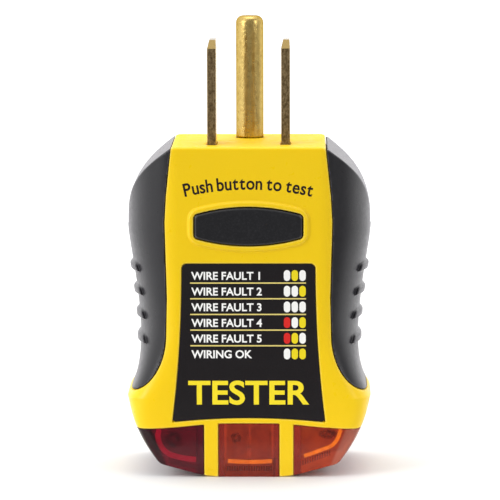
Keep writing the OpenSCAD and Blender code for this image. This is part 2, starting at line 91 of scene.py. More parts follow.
button_lo, button_hi = box_mm("test_button")
label_lo, label_hi = box_mm("legend_label")
pin_lo, pin_hi = box_mm("ground_pin")
lens_lo, lens_hi = box_mm("centre_amber_lens")
board_lo, board_hi = box_mm("circuit_board")
screws_lo, screws_hi = box_mm("case_screws")

# Housing: half widths with the levels where the outline has them, walls and gaps
HALF_DEPTH = lens_hi[1]
FLAT_HALF = 12.0
TOP_HALF = 13.1
HIP, HIP_Z = box_mm("front_shell")[1][0], -14.3
WAIST, WAIST_Z = 19.0, -34.0
FLARE_Z = -43.5
HEEL = (15.7, -54.65)
TOE_X, FOOT_Z = 7.7, lens_lo[2]
ROUND_Z, SQUARENESS = -30.0, 10.0
WALL = 2.25
PIECE_GAP = 0.07

# Grips: edge of the panel between them as (levels, half widths), and their finger ridges
PANEL_HALF = ((0, -8.5, -13, -26, -32.5), (13.2, 14.1, 14.35, 14.0, 14.15))
SWEEP_Z = -32.5
GRIP_REACH = HIP + 0.4
GRIP_FOOT_Z = box_mm("right_grip")[0][2]
GRIP_WALL = 1.2
RIDGE_LEVELS = (-21.4, -25.5, -29.6, -33.7)
RIDGE_HALF = 0.98
RIDGE_STAND = 0.6
RIDGE_WRAP = 1.3

# Windows, and the yellow ribs between them
LENS_TOP_Z = -47.7
LENS_DROP, LENS_DROP_AT = 1.1, 11.0
LENS_FLOOR = 2.0
RIB_INNER, RIB_OUTER = 5.25, 7.7
# depth below the windows' faces of the glowing ribs, which are painted highlights
GLOW_RIB_DEPTH = 0.35

# Button and the raised lip round it
BUTTON_Z = centre_mm("test_button")[2]
BUTTON_HALF = (9.25, 3.25)
BUTTON_SAG = 1.33
FLANGE_Y = -10.7
BEZEL, BEZEL_STAND = 1.05, 0.4

# Legend plate and its table of rows
LABEL_TOP = label_hi[2]
LABEL_BOTTOM = LABEL_TOP - 26.65
LABEL_HALF = (11.42, 13.02)
ROW_TOP, ROW_PITCH = LABEL_TOP - 2.0, 2.71

# Prongs: the blades' places and the half sizes of their openings (left, right)
BLADE_X, BLADE_Y = 6.35, -5.3
SLOT_THICK, SLOT_WIDE = 0.86, (4.05, 3.28)
PIN_Y = centre_mm("ground_pin")[1]
PIN_COLLAR = 0.8
PIN_R = (pin_hi[0] - pin_lo[0]) / 2 - PIN_COLLAR

# Case screws, the bosses that they stand in, and their holes
SCREW_HEAD, SCREW_SEAT = 2.25, 9.5
SCREWS = [(x, z) for x in (screws_lo[0] + SCREW_HEAD, screws_hi[0] - SCREW_HEAD)
          for z in (screws_hi[2] - SCREW_HEAD, screws_lo[2] + SCREW_HEAD)]
BOSS_Y = 11.6
FRONT_BOSS, REAR_BOSS = 2.6, 3.0
PILOT, PILOT_Y, CLEARANCE = 1.15, -9.6, 1.55


# -------------------- distance fields

def bezier(a, b, c, d, steps=80):
    """Points along a cubic curve."""
    t = np.linspace(0, 1, steps)[:, None]
    a, b, c, d = map(np.array, (a, b, c, d))
    s = 1 - t
    return s**3 * a + 3 * s * s * t * b + 3 * s * t * t * c + t**3 * d


def cut(a, b, r):
    """Where both a and b are solid, with the shared edge rounded to radius r."""
    if r == 0:
        return np.maximum(a, b)
    return np.minimum(np.maximum(a, b), -r) + np.hypot(np.maximum(a + r, 0), np.maximum(b + r, 0))


def join(a, b, r):
    """Where a or b is solid, with a fillet of radius r in the corner between them."""
    return -cut(-a, -b, r)


REACH = np.vstack([
    [(HIP, 5.0)],
    bezier((HIP, HIP_Z), (HIP, -17.1), (WAIST, -26), (WAIST, WAIST_Z)),
    bezier((WAIST, WAIST_Z), (WAIST, -38.9), (20.1, -42), (HIP, FLARE_Z)),
    bezier((HIP, FLARE_Z), (20.4, -46), (20.2, -49.2), HEEL),
    [(HEEL[0] - 4.4, -60.0)],
])
SHOULDER = bezier((TOP_HALF, 0), (19.2, -4.4), (HIP, -7.1), (HIP, HIP_Z))


def along(z, levels, values):
    """Value at level z on a line through falling levels."""
    return np.interp(-z, -np.asarray(levels), values).astype(z.dtype)


def reach(z):
    """Half width of the housing at level z, below the shoulders."""
    return along(z, REACH[:, 1], REACH[:, 0])


def eased(t):
    """Smooth step from 0 to 1."""
    t = np.clip(t, 0, 1)
    return t * t * (3 - 2 * t)


def envelope(x, y, z):
    """Sides, front and back: flat panels, sides elliptical at the grips and squarer below."""
    side = reach(z) - FLAT_HALF
    power = 2 + SQUARENESS * np.clip((ROUND_Z - z) / (ROUND_Z - HEEL[1]), 0, 1) ** 2
    u = np.maximum((np.abs(x) - FLAT_HALF) / side, 0)
    v = np.abs(y) / HALF_DEPTH
    radius = np.maximum(u**power + v**power, 1e-9) ** (1 / power)
    slope = np.hypot(u ** (power - 1) / side, v ** (power - 1) / HALF_DEPTH)
    return (radius - 1) * radius ** (power - 1) / np.maximum(slope, 1e-9)


def shoulder(x, z):
    """Front-view cut of the two shoulders."""
    edge = along(z, SHOULDER[:, 1], SHOULDER[:, 0])
    lean = (along(z - 0.05, SHOULDER[:, 1], SHOULDER[:, 0]) - edge) / 0.05
    return (np.abs(x) - edge + np.maximum(z, 0) * 1.34) / np.sqrt(1 + lean**2)


def foot(x, z):
    """Flat foot with a slope up to each heel."""
    rise = (HEEL[1] - FOOT_Z - 0.2) / (HEEL[0] - TOE_X)
    slope = (FOOT_Z + 0.2 + (np.abs(x) - TOE_X) * rise - z) / math.hypot(1, rise)
    return cut(FOOT_Z - z, slope, 0.6)


def hull(x, y, z, inset=0.0, edge=0.3):
    """The whole outer form, inset all round."""
    form = cut(envelope(x, y, z) + inset, shoulder(x, z) + inset, edge)
    form = cut(form, z + inset, 0.5)
    return cut(form, foot(x, z) + inset, 0.3)


def grip_zone(x, z):
    """Front view of the grips: negative where the soft grip covers the housing."""
    edge = along(z, *PANEL_HALF)
    across = GRIP_REACH - edge
    down = SWEEP_Z - GRIP_FOOT_Z
    u = np.maximum(GRIP_REACH - np.abs(x), 0) / across
    v = np.maximum(SWEEP_Z - z, 0) / down
    radius = np.sqrt(u * u + v * v)
    slope = np.sqrt((u / across) ** 2 + (v / down) ** 2)
    return (radius - 1) * radius / np.maximum(slope, 1e-6)


def lens_level(x):
    """Height of the seam between the yellow shells and the windows."""
    share = (x / LENS_DROP_AT) ** 4
    return LENS_TOP_Z - LENS_DROP * share / (1 + share)


def window(x, z, inner, outer):
    """Front view of a lamp window between two distances from the middle."""
    side = np.maximum(inner - np.abs(x), np.abs(x) - outer)
    return np.maximum(side, z - lens_level(x))


def barrel(x, z):
    """Outline of the button: two long arcs between square ends."""
    half_w, half_h = BUTTON_HALF
    r = (half_w**2 + BUTTON_SAG**2) / (2 * BUTTON_SAG)
    arcs = np.hypot(x, np.abs(z - BUTTON_Z) + r - half_h) - r
    return cut(arcs, np.abs(x) - half_w, 0.45)


def legend(x, z):
    """Outline of the legend plate: flared sides, arched foot."""
    share = np.clip((LABEL_TOP - z) / (LABEL_TOP - LABEL_BOTTOM), 0, 1.2)
    half = LABEL_HALF[0] + (LABEL_HALF[1] - LABEL_HALF[0]) * share**2.1
    floor = LABEL_BOTTOM - 0.72 * (x / LABEL_HALF[1]) ** 2
    return cut(cut(np.abs(x) - half, z - LABEL_TOP, 0.8), floor - z, 0.15)


def rod_field(x, z, cx, cz, r):
    """Round bar along Y."""
    return np.hypot(x - cx, z - cz) - r


# -------------------- moulded pieces

def shell_blank(x, y, z):
    """Wall of the housing before its openings, with seats for the grips and the windows."""
    outside = envelope(x, y, z)
    inside = np.maximum(np.maximum(outside, shoulder(x, z)), np.maximum(z, foot(x, z)))
    wall = cut(hull(x, y, z), -inside - WALL, 0.2)
    core = np.maximum(outside, shoulder(x, z)) + GRIP_WALL + PIECE_GAP
    grip_seat = np.maximum(grip_zone(x, z), -core)
    wall = cut(wall, -grip_seat, 0.14)
    wall = cut(wall, -window(x, z, -1.0, RIB_INNER), 0.2)
    return cut(wall, -window(x, z, RIB_OUTER, 99.0), 0.2)


def prong_holes(x, y, z):
    """Openings for the prongs in the mating face."""
    slots = np.maximum(np.abs(np.abs(x) - BLADE_X) - SLOT_THICK,
                       np.abs(y - BLADE_Y) - np.where(x < 0, *SLOT_WIDE))
    pin = np.hypot(x, y - PIN_Y) - PIN_R - 0.02
    return np.maximum(np.minimum(slots, pin), -5 - z)


def front_shell(x, y, z):
    """Panel with the button's lip, the legend's pocket and the apron below it."""
    root, pocket_depth, apron_stand = 0.4, 0.34, 0.16
    wall = cut(shell_blank(x, y, z), y, 0.12)
    for cx, cz in SCREWS:
        end = 0.0 if cz > -20 else board_lo[1] - 0.05
        boss = np.maximum(rod_field(x, z, cx, cz, FRONT_BOSS), np.maximum(y - end, -BOSS_Y - y))
        wall = join(wall, boss, 0.3)
        wall = np.maximum(wall, -np.maximum(rod_field(x, z, cx, cz, PILOT), PILOT_Y - y))
    outline = barrel(x, z)
    lip = cut(outline - BEZEL, -y - HALF_DEPTH - BEZEL_STAND, 0.35)
    wall = join(wall, np.maximum(lip, y + HALF_DEPTH - root), 0.3)
    wall = cut(wall, -(outline - 0.16), 0.22)
    pocket = np.maximum(legend(x, z) - 0.06, y + HALF_DEPTH - pocket_depth)
    wall = cut(wall, -pocket, 0.15)
    side = np.abs(x) - LABEL_HALF[1] - 0.1 - (LABEL_BOTTOM - z) * 0.2
    apron = cut(np.maximum(side, lens_level(x) + 0.12 - z), z - LABEL_BOTTOM + 2, 0.2)
    raised = cut(apron, -y - HALF_DEPTH - apron_stand, 0.14)
    wall = join(wall, np.maximum(raised, y + HALF_DEPTH - root), 0.06)
    dimple = np.sqrt(x**2 + ((y + 6.0) / 0.7) ** 2 + (z / 0.3) ** 2) - 1
    wall = cut(wall, -0.3 * dimple, 0.1)
    return np.maximum(wall, -prong_holes(x, y, z))


def rear_shell(x, y, z):
    """Flat back with a screw well over each boss."""
    wall = cut(shell_blank(x, y, z), 0.04 - y, 0.12)
    for cx, cz in SCREWS:
        start = 0.05 if cz > -20 else board_hi[1] + 0.05
        boss = np.maximum(rod_field(x, z, cx, cz, REAR_BOSS), np.maximum(start - y, y - BOSS_Y))
        wall = join(wall, boss, 0.3)
        wall = np.maximum(wall, -rod_field(x, z, cx, cz, CLEARANCE))
        wall = cut(wall, -np.maximum(rod_field(x, z, cx, cz, SCREW_HEAD + 0.2), SCREW_SEAT - y), 0.15)
    return np.maximum(wall, -prong_holes(x, y, z))


def ridges(x, z):
    """Height of the finger ridges over the grip's skin: steep below, gentle above."""
    height = 0
    for level in RIDGE_LEVELS:
        t = (z - level) / RIDGE_HALF
        start = (np.abs(x) - reach(z) + RIDGE_WRAP - 0.25 * t) / 0.75
        height = height + eased((1 - np.abs(t)) * np.where(t < 0, 2.0, 1.25)) * eased(start)
    return RIDGE_STAND * height


def grip(x, y, z):
    """Both grips; each side is meshed on its own."""
    outside = envelope(x, y, z)
    side = shoulder(x, z)
    skin = cut(outside + 0.03 - ridges(x, z), np.where(z < HIP_Z, side - 1, side + 0.04), 0.2)
    body = cut(skin, z + 0.06, 0.2)
    body = cut(body, grip_zone(x, z) + PIECE_GAP + 0.05, 0.14)
    return cut(body, -np.maximum(outside, side) - GRIP_WALL, 0.1)


def lens(inner, outer, side_wall):
    """A cup-shaped window with a tongue that tucks up behind the shells."""
    def field(x, y, z):
        zone = window(x, z, inner, outer) + 0.03
        cup = cut(hull(x, y, z), zone, 0.12)
        tongue_zone = window(x, z - 1.5, inner, outer) + 0.03
        tongue = np.maximum(hull(x, y, z, WALL + 0.05, 0.0), tongue_zone)
        solid = np.minimum(cup, tongue)
        hollow_side = np.maximum(inner + side_wall - np.abs(x), np.abs(x) - outer + side_wall)
        low = cut(hull(x, y, z, LENS_FLOOR, 0.0), np.maximum(hollow_side, z - lens_level(x) + 1), 0.6)
        tall = np.maximum(hull(x, y, z, WALL + 0.85, 0.0), hollow_side)
        solid = cut(solid, -low, 0.1)
        return np.maximum(solid, -tall)
    return field


def screw(cx, cz):
    """Pan-head self-tapping screw with a cross recess and a rolled thread."""
    pitch, core_r, thread_height, tip_y = 1.1, 1.02, 0.26, -8.8
    dome_r, arm_long, arm_thick = 4.4, 1.4, 0.34

    def field(x, y, z):
        across, up = x - cx, z - cz
        r = np.hypot(across, up)
        turn = np.arctan2(up, across) / (2 * math.pi)
        thread = np.abs(np.mod(y / pitch + turn, 1.0) - 0.5) * 2
        core = r - core_r - thread_height * np.clip(thread * 1.6 - 0.6, 0, 1)
        shank = cut(core, np.maximum(tip_y - y, y - SCREW_SEAT - 0.3), 0.15)
        dome = np.hypot(r, y - (SCREW_SEAT - 2.6)) - dome_r
        head = cut(cut(r - SCREW_HEAD, SCREW_SEAT - y, 0.1), dome, 0.3)
        arm = np.minimum(
            np.maximum(np.abs(across) - arm_long, np.abs(up) - arm_thick),
            np.maximum(np.abs(up) - arm_long, np.abs(across) - arm_thick),
        )
        recess = np.maximum(arm - (y - SCREW_SEAT - 1.2) * 0.15, SCREW_SEAT + 0.5 - y)
        return cut(np.minimum(shank, head), -recess, 0.06)
    return field


# -------------------- mesh builders

def slopes_at(field, points, values, h=0.01):
    """Gradient of a field at a list of points."""
    return np.stack([(field(*(points + h * d).T) - values) / h for d in np.eye(3)], axis=1)


def net_points(values, inside):
    """One point in every grid cell that the surface passes through, and the cells' numbers."""
    corners = np.array(list(product((0, 1), repeat=3)))
    nx, ny, nz = (n - 1 for n in inside.shape)
    count = sum(inside[i:nx + i, j:ny + j, k:nz + k].astype(np.int8) for i, j, k in corners)
    mixed = (count > 0) & (count < 8)
    cells = np.argwhere(mixed)
    number = np.full(mixed.shape, -1, np.int64)
    number[mixed] = np.arange(len(cells))
    total, crossings = np.zeros((len(cells), 3)), np.zeros(len(cells))
    for a, b in product(corners, corners):
        if (b - a).sum() != 1 or (b < a).any():
            continue
        va, vb = values[tuple((cells + a).T)], values[tuple((cells + b).T)]
        crosses = (va < 0) != (vb < 0)
        t = np.where(crosses, va / np.where(crosses, va - vb, 1), 0)
        total += np.where(crosses[:, None], a + t[:, None] * (b - a), 0)
        crossings += crosses
    return cells + total / crossings[:, None], number


def net_quads(inside, number):
    """A quad round every grid edge that the surface crosses, wound to face outwards."""
    quads = []
    for axis in range(3):
        near, far = (np.eye(3, dtype=int)[(axis + i) % 3] for i in (1, 2))
        edges = np.argwhere(np.diff(inside, axis=axis))
        ring = [edges - near - far, edges - far, edges, edges - near]
        quad = np.stack([number[tuple(r.T)] for r in ring], axis=1)
        leaving = inside[tuple(edges.T)]
        quads.append(np.where(leaving[:, None], quad, quad[:, ::-1]))
    return np.vstack(quads)


def field_surface(field, lo, hi, step):
    """Mesh of a field's zero level: points drawn onto it, quads, normals."""
    axes = [np.arange(a - 2 * step, b + 3 * step, step) for a, b in zip(lo, hi)]
    grid = np.meshgrid(*(a.astype(np.float32) for a in axes), indexing="ij", sparse=True)
    values = np.broadcast_to(field(*grid), [len(a) for a in axes])
    inside = values < 0
    cells, number = net_points(values, inside)
    points = np.array([a[0] for a in axes]) + cells * step
    for _ in range(2):
        height = field(*points.T)
        slopes = slopes_at(field, points, height)
        move = -height[:, None] * slopes / np.maximum((slopes**2).sum(1), 1e-3)[:, None]
        length = np.linalg.norm(move, axis=1)[:, None]
        points += move * np.minimum(1, 0.6 * step / np.maximum(length, 1e-9))
    normals = slopes_at(field, points, field(*points.T))
    normals /= np.maximum(np.linalg.norm(normals, axis=1), 1e-9)[:, None]
    return points, net_quads(inside, number), normals


def curvature(points, quads, normals):
    """Bend of the surface at each point, 1/mm: positive on outside edges."""
    total, count = np.zeros(len(points)), np.zeros(len(points))
    for side in range(4):
        i, j = quads[:, side], quads[:, (side + 1) % 4]
        step = points[j] - points[i]
        bend = ((normals[j] - normals[i]) * step).sum(1) / np.maximum((step**2).sum(1), 4e-3)
        for end in (i, j):
            total += np.bincount(end, bend, len(points))
            count += np.bincount(end, minlength=len(points))
    return total / np.maximum(count, 1)


def circle(steps):
    """Angles round a full turn."""
    return np.linspace(0, 2 * math.pi, steps, endpoint=False)


def add_object(name, data):
    obj = bpy.data.objects.new(name, data)
    bpy.context.scene.collection.objects.link(obj)
    return obj


def evaluated_mesh(obj):
    """A new mesh from an object as its modifiers or its font leave it."""
    bpy.context.view_layer.update()
    depsgraph = bpy.context.evaluated_depsgraph_get()
    return bpy.data.meshes.new_from_object(obj.evaluated_get(depsgraph), depsgraph=depsgraph)


def new_piece(name, points, faces, material, body="housing", normals=None, smooth=True):
    """A mesh object from points in millimetres, riding on a CAD body."""
    mesh = bpy.data.meshes.new(name)
    mesh.from_pydata((np.asarray(points) * MM).tolist(), [], faces)
    mesh.update()
    mesh.polygons.foreach_set("use_smooth", [smooth] * len(mesh.polygons))
    if normals is not None:
        mesh.normals_split_custom_set_from_vertices(normals.tolist())
    mesh.materials.append(material)
    obj = add_object(name, mesh)
    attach(obj, body)
    return obj


def stand_in(piece, slot, *nodes):
    """Hides the CAD nodes that the piece stands for; slot is not used."""
    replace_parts(piece, *nodes)


def moulded(name, field, lo, hi, step, material, body="housing"):
    """Piece from a distance field, with its edges marked for wear."""
    points, quads, normals = field_surface(field, lo, hi, step)
    piece = new_piece(name, points, quads.tolist(), material, body, normals)
    wear = piece.data.attributes.new("curvature", "FLOAT", "POINT")
    wear.data.foreach_set("value", curvature(points, quads, normals))
    return piece


def loft(name, rings, material, smooth=True):
    """Skin over rings of points; every ring has the same number of points."""
    m, n = len(rings[0]), len(rings)
    faces = [
        (i * m + j, i * m + (j + 1) % m, (i + 1) * m + (j + 1) % m, (i + 1) * m + j)
        for i in range(n - 1) for j in range(m)
    ]
    faces += [tuple(range(m))[::-1], tuple(range((n - 1) * m, n * m))]
    return new_piece(name, np.vstack(rings), faces, material, smooth=smooth)


def smooth_path(points, steps=10):
    """Catmull-Rom curve through the points."""
    p = np.asarray(points, float)
    p = np.vstack([2 * p[0] - p[1], p, 2 * p[-1] - p[-2]])
    t = np.linspace(0, 1, steps, endpoint=False)[:, None]
    spans = [
        0.5 * (2 * b + (c - a) * t + (2 * a - 5 * b + 4 * c - d) * t**2
               + (3 * b - a - 3 * c + d) * t**3)
        for a, b, c, d in zip(p[:-3], p[1:-2], p[2:-1], p[3:])
    ]
    return np.vstack(spans + [p[-2:-1]])


def swept(name, path, radius, material, sides=16):
    """Round wire along a path, turned as little as possible between steps."""
    path = np.asarray(path, float)
    tangents = np.gradient(path, axis=0)
    tangents /= np.linalg.norm(tangents, axis=1)[:, None]
    side = np.cross(tangents[0], (0.3, 0.5, 0.8))
    angles = circle(sides)
    rings = []
    for point, tangent in zip(path, tangents):
        side = side - tangent * side.dot(tangent)
        side /= np.linalg.norm(side)
        other = np.cross(tangent, side)
        rings.append([point + radius * (math.cos(a) * side + math.sin(a) * other) for a in angles])
    return loft(name, rings, material)


def soften(obj, width):
    """Rounds the edges of a stamped piece for good."""
    mod = obj.modifiers.new("edge", "BEVEL")
    mod.width = width * MM
    mod.segments = 2
    mod.limit_method = "ANGLE"
    mod.angle_limit = math.radians(30)
    mod.harden_normals = True
    mesh = evaluated_mesh(obj)
    obj.modifiers.clear()
    obj.data = mesh


# -------------------- materials

def shade(color, factor):
    return tuple(factor * c for c in color)


class Graph:
    """Shader nodes, made and linked one at a time."""

    def __init__(self, tree):
        self.nodes, self.links = tree.nodes, tree.links

    def node(self, kind, **settings):
        node = self.nodes.new("ShaderNode" + kind)
        for key, value in settings.items():
            setattr(node, key, value)
        return node

    def feed(self, socket, value):
        """Links a socket to another node's output, or sets its own value."""
        if isinstance(value, bpy.types.NodeSocket):
            self.links.new(value, socket)
        else:
            socket.default_value = value

    def math(self, operation, *values):
        node = self.node("Math", operation=operation)
        for socket, value in zip(node.inputs, values):
            self.feed(socket, value)
        return node.outputs[0]

    def times(self, a, b):
        return self.math("MULTIPLY", a, b)

    def ramp(self, value, low, high, to_low=0.0, to_high=1.0, **settings):
        """Straight rise from to_low to to_high as value goes from low to high."""
        node = self.node("MapRange", **settings)
        for socket, number in zip(node.inputs, (value, low, high, to_low, to_high)):
            self.feed(socket, number)
        return node.outputs["Result"]

    def part(self, vector, which):
        """One component of a vector."""
        node = self.node("SeparateXYZ")
        self.feed(node.inputs[0], vector)
        return node.outputs[which]


class Finish(Graph):
    """Node material with object coordinates in millimetres and a Principled surface."""

    def __init__(self, name, color, shine=0.5, **inputs):
        self.material = bpy.data.materials.new(name)
        self.material.use_nodes = True
        super().__init__(self.material.node_tree)
        self.surface = self.nodes["Principled BSDF"]
        scale = self.node("VectorMath", operation="SCALE")
        self.feed(scale.inputs[0], self.node("TexCoord").outputs["Object"])
        self.feed(scale.inputs["Scale"], 1 / MM)
        self.place = scale.outputs[0]
        self.color = (*color, 1)
        self.relief = None
        self.set("Specular IOR Level", shine)
        for key, value in inputs.items():
            self.set(key.replace("_", " "), value)

    def set(self, key, value):
        self.feed(self.surface.inputs[key], value)

    def axis(self, which):
        """One coordinate of the place, in millimetres."""
        return self.part(self.place, which)

    def facing(self, which):
        """One component of the surface normal, from -1 to 1."""
        return self.part(self.node("NewGeometry").outputs["Normal"], which)

    def stretched(self, factors):
        """The place, scaled along each axis."""
        node = self.node("VectorMath", operation="MULTIPLY")
        self.feed(node.inputs[0], self.place)
        self.feed(node.inputs[1], factors)
        return node.outputs[0]

    def noise(self, size, detail=3.0, roughness=0.55, vector=None):
        """Noise whose features are about size millimetres across, from 0 to 1."""
        node = self.node("TexNoise")
        self.feed(node.inputs["Scale"], 1 / size)
        self.feed(node.inputs["Detail"], detail)
        self.feed(node.inputs["Roughness"], roughness)
        self.feed(node.inputs["Vector"], vector or self.place)
        return node.outputs["Fac"]

    def cells(self, size, feature="F1", vector=None):
        """Distance in a pattern of cells about size millimetres across."""
        node = self.node("TexVoronoi", feature=feature)
        self.feed(node.inputs["Scale"], 1 / size)
        self.feed(node.inputs["Vector"], vector or self.place)
        return node.outputs["Distance"]

    def edges(self):
        """1 on worn outside edges of a moulded piece, 0 elsewhere."""
        wear = self.node("Attribute", attribute_name="curvature")
        return self.ramp(wear.outputs["Fac"], 0.8, 2.5)

    def tint(self, share, color):
        """Blends another colour over the surface where share is 1."""
        node = self.node("Mix", data_type="RGBA")
        self.feed(node.inputs["Factor"], share)
        self.feed(node.inputs[6], self.color)
        self.feed(node.inputs[7], (*color, 1))
        self.color = node.outputs[2]

    def mottle(self, size, detail, low, high, share, color, roughness=0.55):
        """Tints patches of noise, where it is over high, up to a share."""
        self.tint(self.ramp(self.noise(size, detail, roughness), low, high, 0.0, share), color)

    def uneven(self, size, detail, low, high):
        """Lets the roughness wander between two values."""
        self.set("Roughness", self.ramp(self.noise(size, detail), 0.3, 0.7, low, high))

    def bump(self, height, depth):
        """Adds relief: depth is the height of the relief in millimetres."""
        node = self.node("Bump")
        self.feed(node.inputs["Strength"], 1.0)
        self.feed(node.inputs["Distance"], depth * MM)
        self.feed(node.inputs["Height"], height)
        if self.relief is not None:
            self.feed(node.inputs["Normal"], self.relief)
        self.relief = node.outputs["Normal"]

    def done(self):
        self.set("Base Color", self.color)
        if self.relief is not None:
            self.set("Normal", self.relief)
        return self.material


def yellow_plastic():
    f = Finish("yellow_plastic", (0.92, 0.615, 0.003), 0.3)
    f.mottle(9.0, 2.0, 0.35, 0.75, 0.16, (0.84, 0.54, 0.003))
    f.mottle(0.5, 4.0, 0.45, 0.8, 0.12, (1.0, 0.68, 0.02))
    f.tint(f.edges(), (1.0, 0.74, 0.1))
    dull = f.ramp(f.noise(1.4, 4.0), 0.3, 0.7, 0.27, 0.42)
    f.set("Roughness", f.times(dull, f.ramp(f.facing("Z"), 0.8, 0.95, 1.0, 1.7)))
    f.bump(f.noise(0.22, 2.0), 0.004)
    f.set("Subsurface Weight", 0.06)
    f.set("Subsurface Radius", (0.0012, 0.0007, 0.0001))
    f.set("Subsurface Scale", 1.0)
    return f.done()


def soft_grip():
    f = Finish("soft_grip", (0.006, 0.0055, 0.008), 0.42)
    f.mottle(3.5, 4.0, 0.35, 0.75, 0.35, (0.012, 0.011, 0.015))
    f.tint(f.edges(), (0.06, 0.056, 0.064))
    f.uneven(0.9, 5.0, 0.27, 0.38)
    f.bump(f.noise(0.16, 3.0), 0.012)
    f.bump(f.noise(1.2, 3.0), 0.01)
    f.set("Sheen Weight", 0.24)
    f.set("Sheen Roughness", 0.3)
    f.set("Sheen Tint", (0.88, 0.81, 0.94, 1))
    return f.done()


def button_plastic():
    f = Finish("button_plastic", (0.007, 0.007, 0.009), 0.35)
    f.mottle(0.3, 4.0, 0.5, 0.8, 0.5, (0.03, 0.03, 0.035))
    f.tint(f.edges(), (0.09, 0.09, 0.1))
    f.bump(f.cells(0.24), 0.02)
    f.uneven(0.6, 3.0, 0.3, 0.44)
    return f.done()


def legend_black():
    f = Finish("legend_black", (0.008, 0.006, 0.007), 0.25)
    f.mottle(0.25, 4.0, 0.45, 0.8, 0.3, (0.026, 0.022, 0.024))
    f.bump(f.noise(0.3, 3.0), 0.004)
    f.uneven(2.0, 3.0, 0.28, 0.4)
    return f.done()


def ink(name, color):
    f = Finish(name, color, 0.3, Roughness=0.5)
    f.mottle(0.35, 4.0, 0.5, 0.85, 0.18, shade(color, 0.72))
    f.bump(f.noise(0.12, 2.0), 0.003)
    return f.done()


def window_plastic(name, tint, deep, walls, lamp, slant, rim=None):
    """Translucent moulding with painted shade where its walls are deep and a painted shadow where the
    lamp's end sits behind.

    walls are the |x| span of the clear part, with painted shade outside it; the lamp tuple places the
    painted shadow as (x, z, half width, half height);
    slant is the slope and the height of the band of fine upright ribs, striped with painted shade; the
    last colour, where given, is a painted rim near the front.
    """
    f = Finish(name, tint, 0.16, IOR=1.42)
    x, z = f.axis("X"), f.axis("Z")
    out = f.math("ABSOLUTE", x)
    ribs = f.ramp(f.math("SINE", f.times(x, 15.0)), -0.8, 0.8)
    f.mottle(2.2, 4.0, 0.38, 0.68, 0.5, deep)
    # painted rim near the front: painted reflection on the amber window, painted shade on the red
    # window
    if rim:
        edge = f.math("SUBTRACT", out, f.times(f.math("ADD", z, 52.0), 0.42))
        face = f.ramp(f.math("ABSOLUTE", f.axis("Y")), 8.0, 12.0)
        f.tint(f.times(face, f.ramp(edge, 15.1, 15.6)), rim)
    # painted shade in stripes over the band of fine upright ribs, on top of their bump relief
    level = f.math("SUBTRACT", z, f.times(out, slant[0]))
    band = f.times(f.ramp(level, slant[1], slant[1] - 0.15),
                   f.ramp(level, slant[1] - 1.0, slant[1] - 0.85))
    band = f.times(band, f.ramp(out, walls[1], walls[1] - 0.4))
    f.tint(f.times(band, f.ramp(ribs, 0.0, 1.0, 0.1, 0.9)), shade(deep, 0.6))
    # painted shade where the walls are deep: beside the ribs, and at the outer wall when no rim colour
    # is given
    f.tint(f.ramp(out, walls[0] + 0.15, walls[0] - 0.15, 0.0, 0.8), deep)
    if not rim:
        f.tint(f.ramp(out, walls[1] - 0.15, walls[1] + 0.15, 0.0, 0.8), deep)
    # painted shadow of the lamp's end behind the window, a dark ring
    across = f.math("DIVIDE", f.math("SUBTRACT", x, lamp[0]), lamp[2])
    upward = f.math("DIVIDE", f.math("SUBTRACT", z, lamp[1]), lamp[3])
    away = f.math("SQRT", f.math("ADD", f.times(across, across), f.times(upward, upward)))
    ring = f.times(f.ramp(away, 1.25, 0.75), f.ramp(away, 0.1, 0.5, 0.3, 0.8))
    ring = f.times(ring, f.ramp(f.noise(0.8, 3.0), 0.35, 0.6, 0.35, 1.0))
    f.tint(ring, shade(deep, 0.35))
    f.set("Transmission Weight", 0.55)
    f.set("Roughness", f.ramp(f.noise(1.8, 4.0), 0.35, 0.75, 0.06, 0.2))
    f.bump(f.noise(1.5, 3.0), 0.01)
    f.bump(f.times(ribs, band), 0.02)
    return f.done()


def painted_glow_finish(name, glow, pale):
    """Painted highlight: a rib that glows though it is no lamp, paler along streaks."""
    f = Finish(name, glow, 0.3, Roughness=0.35)
    f.tint(f.ramp(f.noise(0.9, 3.0, 0.5, f.stretched((1, 1, 3))), 0.45, 0.7, 0.0, 0.7), pale)
    f.set("Emission Color", f.color)
    f.set("Emission Strength", f.ramp(f.noise(1.3, 2.0), 0.3, 0.7, 1.0, 1.5))
    f.bump(f.noise(0.6, 2.0), 0.01)
    return f.done()


def brass(name, color, tarnish, roughness=0.2, worn=1.0):
    """Drawn brass: fine streaks along Z, mottled tarnish and pits."""
    f = Finish(name, color, Metallic=1.0)
    f.mottle(1.1, 5.0, 0.45, 0.72, 0.6, tarnish, 0.7)
    pits = f.ramp(f.noise(0.28 * worn, 4.0, 0.7), 0.56, 0.7)
    f.tint(f.times(pits, 0.5), shade(tarnish, 0.45))
    streaks = f.noise(0.5, 3.0, 0.5, f.stretched((1, 1, 0.08)))
    f.set("Roughness", f.ramp(streaks, 0.3, 0.7, roughness, roughness + 0.16))
    f.bump(streaks, 0.006)
    f.bump(pits, -0.008 * worn)
    f.bump(f.noise(0.7, 3.0, 0.6), 0.02 * worn)
    f.set("Specular Tint", (0.6, 0.5, 0.3, 1))
    return f.done()


